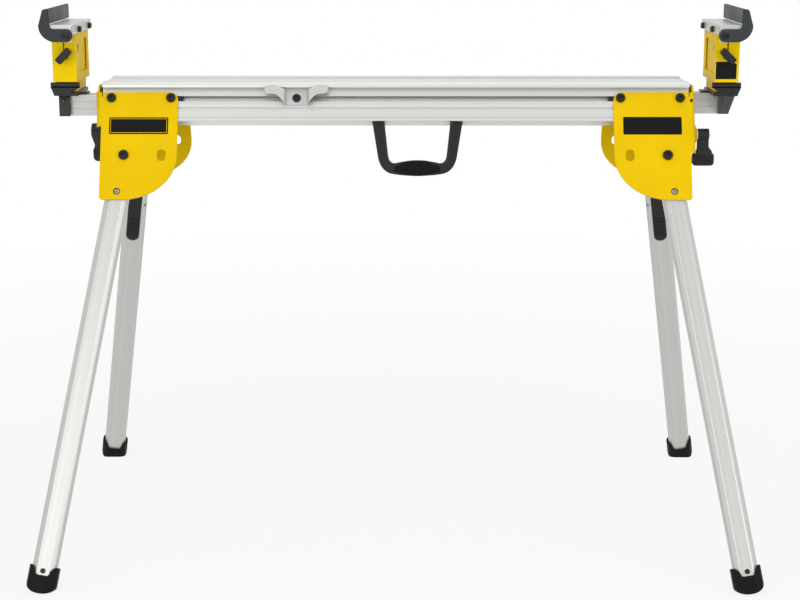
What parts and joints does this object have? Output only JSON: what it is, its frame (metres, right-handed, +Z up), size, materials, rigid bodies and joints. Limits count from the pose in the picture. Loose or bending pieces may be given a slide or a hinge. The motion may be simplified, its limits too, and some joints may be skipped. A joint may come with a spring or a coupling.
{
  "type": "folding miter saw stand",
  "caption": "Folding stand that carries a miter saw on a long slotted beam, with splayed locking legs and sliding, height-adjustable work supports with flip stops.",
  "frame": {"origin": "on the floor, below the middle of the beam", "axes": "+X along the beam to the right as seen from the front, the front is -Y, +Z up"},
  "size_m": [1.2216, 0.7872, 0.941],
  "materials": {
    "aluminium_profile": "satin extruded",
    "yellow_paint": "semi-gloss",
    "black_plastic": "matte moulded",
    "foot_rubber": "matte",
    "grey_paint": "satin",
    "plated_steel": "zinc plated",
    "black_fastener": "black oxide"
  },
  "bodies": {
    "frame": {"beam": "aluminium_profile", "carry_handle": "black_plastic", "handle_screw_left": "black_fastener", "handle_screw_right": "black_fastener", "accessory_hook": "plated_steel", "hook_screw": "black_fastener", "mount_bolts_front_left": "black_fastener", "leg_pivot_bolt_front_left": "black_fastener", "mount_bolts_front_right": "black_fastener", "leg_pivot_bolt_front_right": "black_fastener", "mount_bolts_rear_right": "black_fastener", "leg_pivot_bolt_rear_right": "black_fastener", "mount_bolts_rear_left": "black_fastener", "leg_pivot_bolt_rear_left": "black_fastener", "end_bracket_left": "yellow_paint", "clamp_bar_left": "plated_steel", "end_bracket_right": "yellow_paint", "clamp_bar_right": "plated_steel"},
    "leg_front_left": {"leg_front_left": "aluminium_profile", "leg_foot_front_left": "foot_rubber", "foot_screw_front_left": "black_fastener"},
    "lock_lever_front_left": {"lock_lever_front_left": "black_plastic"},
    "lock_pin_front_left": {"lock_pin_front_left": "plated_steel"},
    "leg_front_right": {"leg_front_right": "aluminium_profile", "leg_foot_front_right": "foot_rubber", "foot_screw_front_right": "black_fastener"},
    "lock_lever_front_right": {"lock_lever_front_right": "black_plastic"},
    "lock_pin_front_right": {"lock_pin_front_right": "plated_steel"},
    "leg_rear_right": {"leg_rear_right": "aluminium_profile", "leg_foot_rear_right": "foot_rubber", "foot_screw_rear_right": "black_fastener"},
    "lock_lever_rear_right": {"lock_lever_rear_right": "black_plastic"},
    "lock_pin_rear_right": {"lock_pin_rear_right": "plated_steel"},
    "leg_rear_left": {"leg_rear_left": "aluminium_profile", "leg_foot_rear_left": "foot_rubber", "foot_screw_rear_left": "black_fastener"},
    "lock_lever_rear_left": {"lock_lever_rear_left": "black_plastic"},
    "lock_pin_rear_left": {"lock_pin_rear_left": "plated_steel"},
    "arm_left": {"extension_tube_left": "aluminium_profile", "support_base_left": "black_plastic", "support_column_left": "yellow_paint"},
    "latch_left": {"support_latch_left": "grey_paint"},
    "support_left": {"support_sleeve_left": "yellow_paint", "support_saddle_left": "plated_steel", "saddle_screws_left": "black_fastener", "stop_bolt_left": "black_fastener"},
    "stop_left": {"flip_stop_left": "grey_paint"},
    "knob_left": {"height_knob_left": "black_plastic"},
    "clamp_lever_left": {"clamp_lever_left": "black_plastic"},
    "arm_right": {"extension_tube_right": "aluminium_profile", "support_base_right": "black_plastic", "support_column_right": "yellow_paint"},
    "latch_right": {"support_latch_right": "grey_paint"},
    "support_right": {"support_sleeve_right": "yellow_paint", "support_saddle_right": "plated_steel", "saddle_screws_right": "black_fastener", "stop_bolt_right": "black_fastener"},
    "stop_right": {"flip_stop_right": "grey_paint"},
    "knob_right": {"height_knob_right": "black_plastic"},
    "clamp_lever_right": {"clamp_lever_right": "black_plastic"}
  },
  "joints": [
    {"name": "leg_fold_front_left", "type": "hinge", "parent": "frame", "child": "leg_front_left", "pos_m": [-0.4685, -0.10793, 0.692], "axis": [0, -0.9239, 0.3827], "range_deg": [0, 101.75]},
    {"name": "lock_press_front_left", "type": "hinge", "parent": "leg_front_left", "child": "lock_lever_front_left", "pos_m": [-0.48838, -0.13206, 0.56842], "axis": [-0.9873, 0.0609, 0.1469], "range_deg": [0, 3.8]},
    {"name": "lock_pin_travel_front_left", "type": "slide", "parent": "leg_front_left", "child": "lock_pin_front_left", "axis": [0, 0.9239, -0.3827], "range_m": [0, 0.00399], "stiffness_N_per_m": 1650, "springref_m": -0.0018},
    {"name": "leg_fold_front_right", "type": "hinge", "parent": "frame", "child": "leg_front_right", "pos_m": [0.4685, -0.10793, 0.692], "axis": [0, 0.9239, -0.3827], "range_deg": [0, 94.35]},
    {"name": "lock_press_front_right", "type": "hinge", "parent": "leg_front_right", "child": "lock_lever_front_right", "pos_m": [0.48838, -0.13206, 0.56842], "axis": [-0.9873, -0.0609, -0.1469], "range_deg": [0, 3.8]},
    {"name": "lock_pin_travel_front_right", "type": "slide", "parent": "leg_front_right", "child": "lock_pin_front_right", "axis": [0, 0.9239, -0.3827], "range_m": [0, 0.00399], "stiffness_N_per_m": 1650, "springref_m": -0.0018},
    {"name": "leg_fold_rear_right", "type": "hinge", "parent": "frame", "child": "leg_rear_right", "pos_m": [0.4685, 0.10793, 0.692], "axis": [0, 0.9239, 0.3827], "range_deg": [0, 94.35]},
    {"name": "lock_press_rear_right", "type": "hinge", "parent": "leg_rear_right", "child": "lock_lever_rear_right", "pos_m": [0.48838, 0.13206, 0.56842], "axis": [0.9873, -0.0609, 0.1469], "range_deg": [0, 3.8]},
    {"name": "lock_pin_travel_rear_right", "type": "slide", "parent": "leg_rear_right", "child": "lock_pin_rear_right", "axis": [0, -0.9239, -0.3827], "range_m": [0, 0.00399], "stiffness_N_per_m": 1650, "springref_m": -0.0018},
    {"name": "leg_fold_rear_left", "type": "hinge", "parent": "frame", "child": "leg_rear_left", "pos_m": [-0.4685, 0.10793, 0.692], "axis": [0, -0.9239, -0.3827], "range_deg": [0, 101.75]},
    {"name": "lock_press_rear_left", "type": "hinge", "parent": "leg_rear_left", "child": "lock_lever_rear_left", "pos_m": [-0.48838, 0.13206, 0.56842], "axis": [0.9873, 0.0609, -0.1469], "range_deg": [0, 3.8]},
    {"name": "lock_pin_travel_rear_left", "type": "slide", "parent": "leg_rear_left", "child": "lock_pin_rear_left", "axis": [0, -0.9239, -0.3827], "range_m": [0, 0.00399], "stiffness_N_per_m": 1650, "springref_m": -0.0018},
    {"name": "arm_slide_left", "type": "slide", "parent": "frame", "child": "arm_left", "axis": [-1, 0, 0], "range_m": [0, 0.65]},
    {"name": "latch_swing_left", "type": "hinge", "parent": "arm_left", "child": "latch_left", "pos_m": [-0.57975, -0.038, 0.7833], "axis": [-1, 0, 0], "range_deg": [0, 60]},
    {"name": "support_lift_left", "type": "slide", "parent": "arm_left", "child": "support_left", "axis": [0, 0, 1], "range_m": [0, 0.038]},
    {"name": "stop_flip_left", "type": "hinge", "parent": "support_left", "child": "stop_left", "pos_m": [-0.5592, -0.1093, 0.896], "axis": [0, 1, 0], "range_deg": [0, 180]},
    {"name": "knob_turn_left", "type": "hinge", "parent": "support_left", "child": "knob_left", "pos_m": [-0.571, -0.077, 0.859], "axis": [0, 1, 0], "range_deg": [0, 180]},
    {"name": "clamp_swing_left", "type": "hinge", "parent": "frame", "child": "clamp_lever_left", "pos_m": [-0.535, 0.045, 0.72], "axis": [1, 0, 0], "range_deg": [0, 110]},
    {"name": "arm_slide_right", "type": "slide", "parent": "frame", "child": "arm_right", "axis": [1, 0, 0], "range_m": [0, 0.65]},
    {"name": "latch_swing_right", "type": "hinge", "parent": "arm_right", "child": "latch_right", "pos_m": [0.57975, 0.038, 0.7833], "axis": [1, 0, 0], "range_deg": [0, 60]},
    {"name": "support_lift_right", "type": "slide", "parent": "arm_right", "child": "support_right", "axis": [0, 0, 1], "range_m": [0, 0.038]},
    {"name": "stop_flip_right", "type": "hinge", "parent": "support_right", "child": "stop_right", "pos_m": [0.5592, -0.1093, 0.896], "axis": [0, -1, 0], "range_deg": [0, 180]},
    {"name": "knob_turn_right", "type": "hinge", "parent": "support_right", "child": "knob_right", "pos_m": [0.571, -0.077, 0.859], "axis": [0, 1, 0], "range_deg": [0, 180]},
    {"name": "clamp_swing_right", "type": "hinge", "parent": "frame", "child": "clamp_lever_right", "pos_m": [0.535, -0.045, 0.72], "axis": [-1, 0, 0], "range_deg": [0, 110]}
  ],
  "couplings": [
    {"joint": "lock_press_front_left", "follows": "lock_pin_travel_front_left", "rad_per_m": 16.584},
    {"joint": "lock_press_front_right", "follows": "lock_pin_travel_front_right", "rad_per_m": 16.584},
    {"joint": "lock_press_rear_right", "follows": "lock_pin_travel_rear_right", "rad_per_m": 16.584},
    {"joint": "lock_press_rear_left", "follows": "lock_pin_travel_rear_left", "rad_per_m": 16.584}
  ]
}
